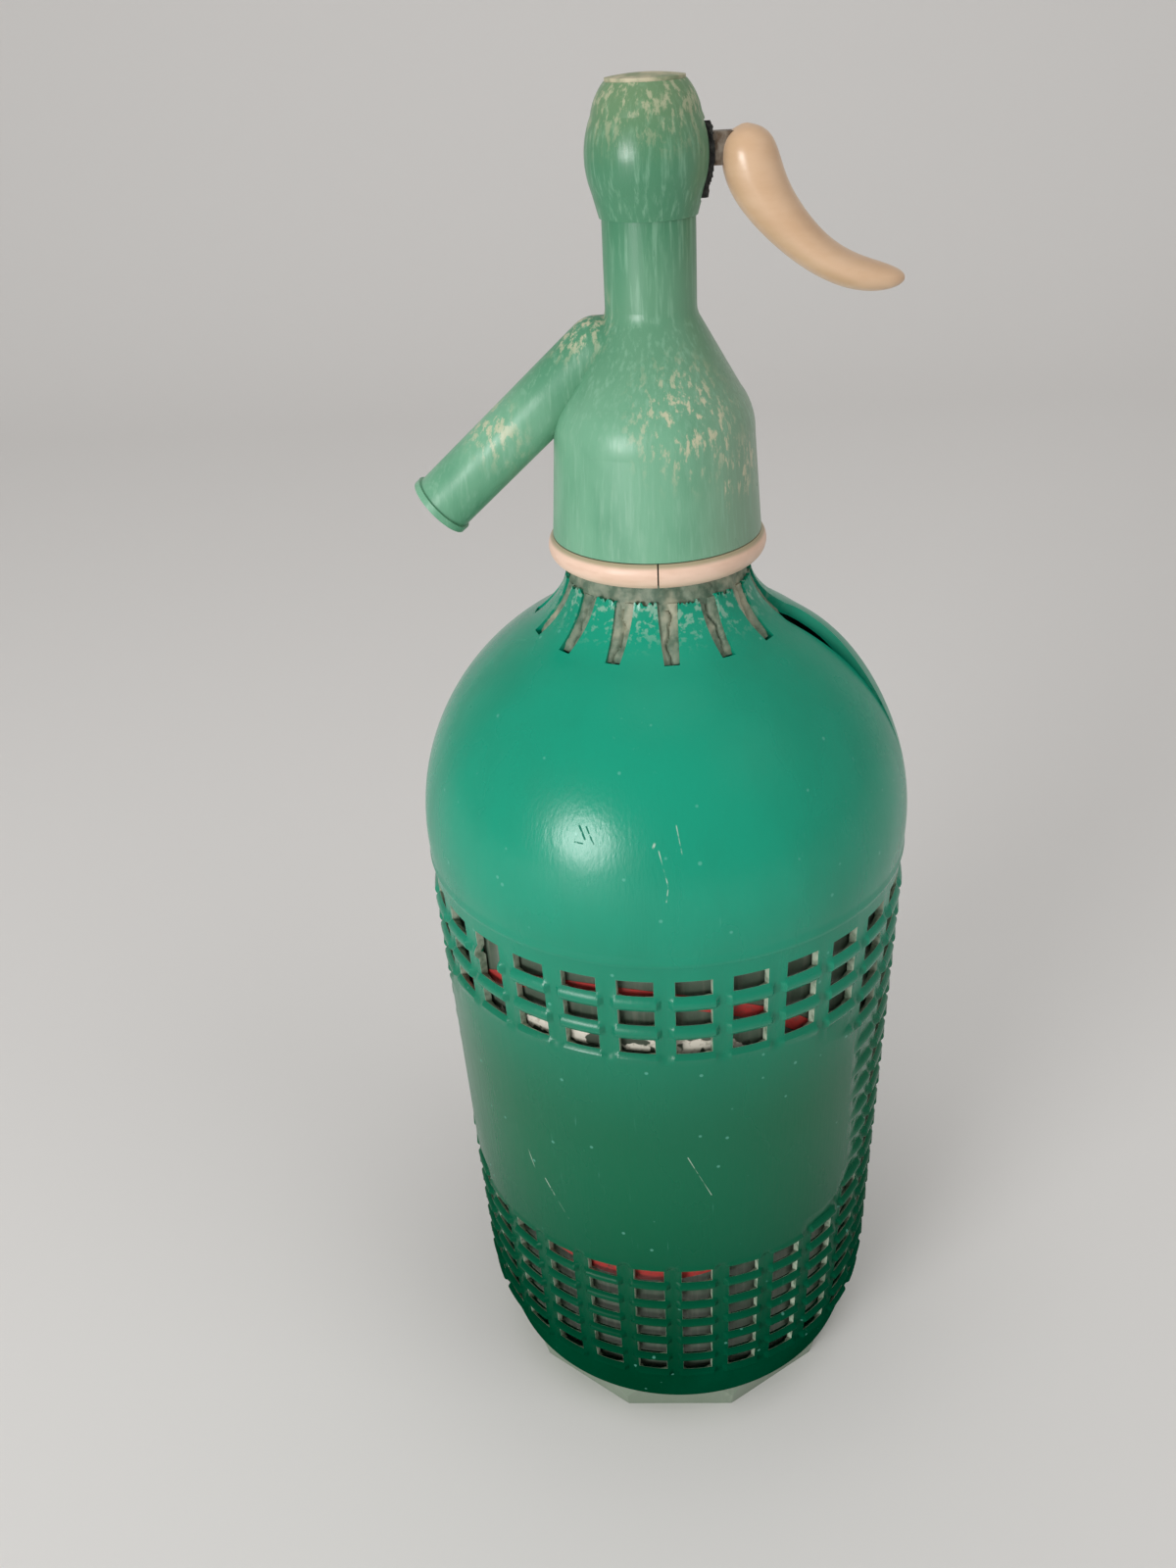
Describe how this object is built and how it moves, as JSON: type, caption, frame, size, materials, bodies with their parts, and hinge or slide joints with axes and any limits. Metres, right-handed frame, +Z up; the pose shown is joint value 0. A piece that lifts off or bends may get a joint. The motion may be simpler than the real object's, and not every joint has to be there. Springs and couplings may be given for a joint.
{
  "type": "soda siphon",
  "caption": "Table soda siphon: glass bottle in a moulded openwork jacket, with a plastic head, sloping spout and sprung thumb lever.",
  "frame": {"origin": "on the bottle's axis in the plane that it stands on", "axes": "+Z up along the bottle, spout towards -X, lever towards +X"},
  "size_m": [0.106, 0.106, 0.299],
  "materials": {
    "bottle_glass": "thick grey-green glass",
    "jacket_plastic": "semi-gloss moulded polyethylene",
    "head_plastic": "weathered matte plastic",
    "collar_plastic": "pinkish beige plastic",
    "handle_plastic": "satin beige plastic",
    "cap_plastic": "worn cream plastic",
    "tube_plastic": "natural white plastic",
    "lever_metal": "tarnished flat bar",
    "spring_steel": "stainless wire",
    "valve_brass": "turned brass",
    "gasket_rubber": "red-brown rubber",
    "black_rubber": "perished black rubber"
  },
  "bodies": {
    "siphon": {"glass_bottle": "bottle_glass", "plastic_jacket": "jacket_plastic", "collar_half_lever_side": "collar_plastic", "collar_half_spout_side": "collar_plastic", "neck_gasket": "gasket_rubber", "dip_tube_bush": "tube_plastic", "dip_tube": "tube_plastic", "head_body": "head_plastic", "spout_liner": "tube_plastic", "valve_seat": "valve_brass", "valve_spring": "spring_steel", "stem_guide": "valve_brass", "lever_pin": "spring_steel", "slot_gaiter": "black_rubber", "top_cap": "cap_plastic"},
    "lever": {"lever_arm": "lever_metal", "lever_handle": "handle_plastic"},
    "stem": {"valve_stem": "valve_brass", "drive_pin": "spring_steel", "washer_cup": "valve_brass", "washer_screw": "valve_brass", "valve_washer": "gasket_rubber", "seal_retainer": "valve_brass", "piston_seal": "gasket_rubber"}
  },
  "joints": [
    {"name": "lever_pivot", "type": "hinge", "parent": "siphon", "child": "lever", "pos_m": [0.0082, 0, 0.2864], "axis": [0, 1, 0], "range_deg": [0, 16]},
    {"name": "valve_lift", "type": "slide", "parent": "siphon", "child": "stem", "axis": [0, 0, 1], "range_m": [0, 0.0023], "stiffness_N_per_m": 1500, "springref_m": -0.0004, "deforming": ["valve_spring"]}
  ],
  "couplings": [
    {"joint": "lever_pivot", "follows": "valve_lift", "rad_per_m": 120.5}
  ]
}
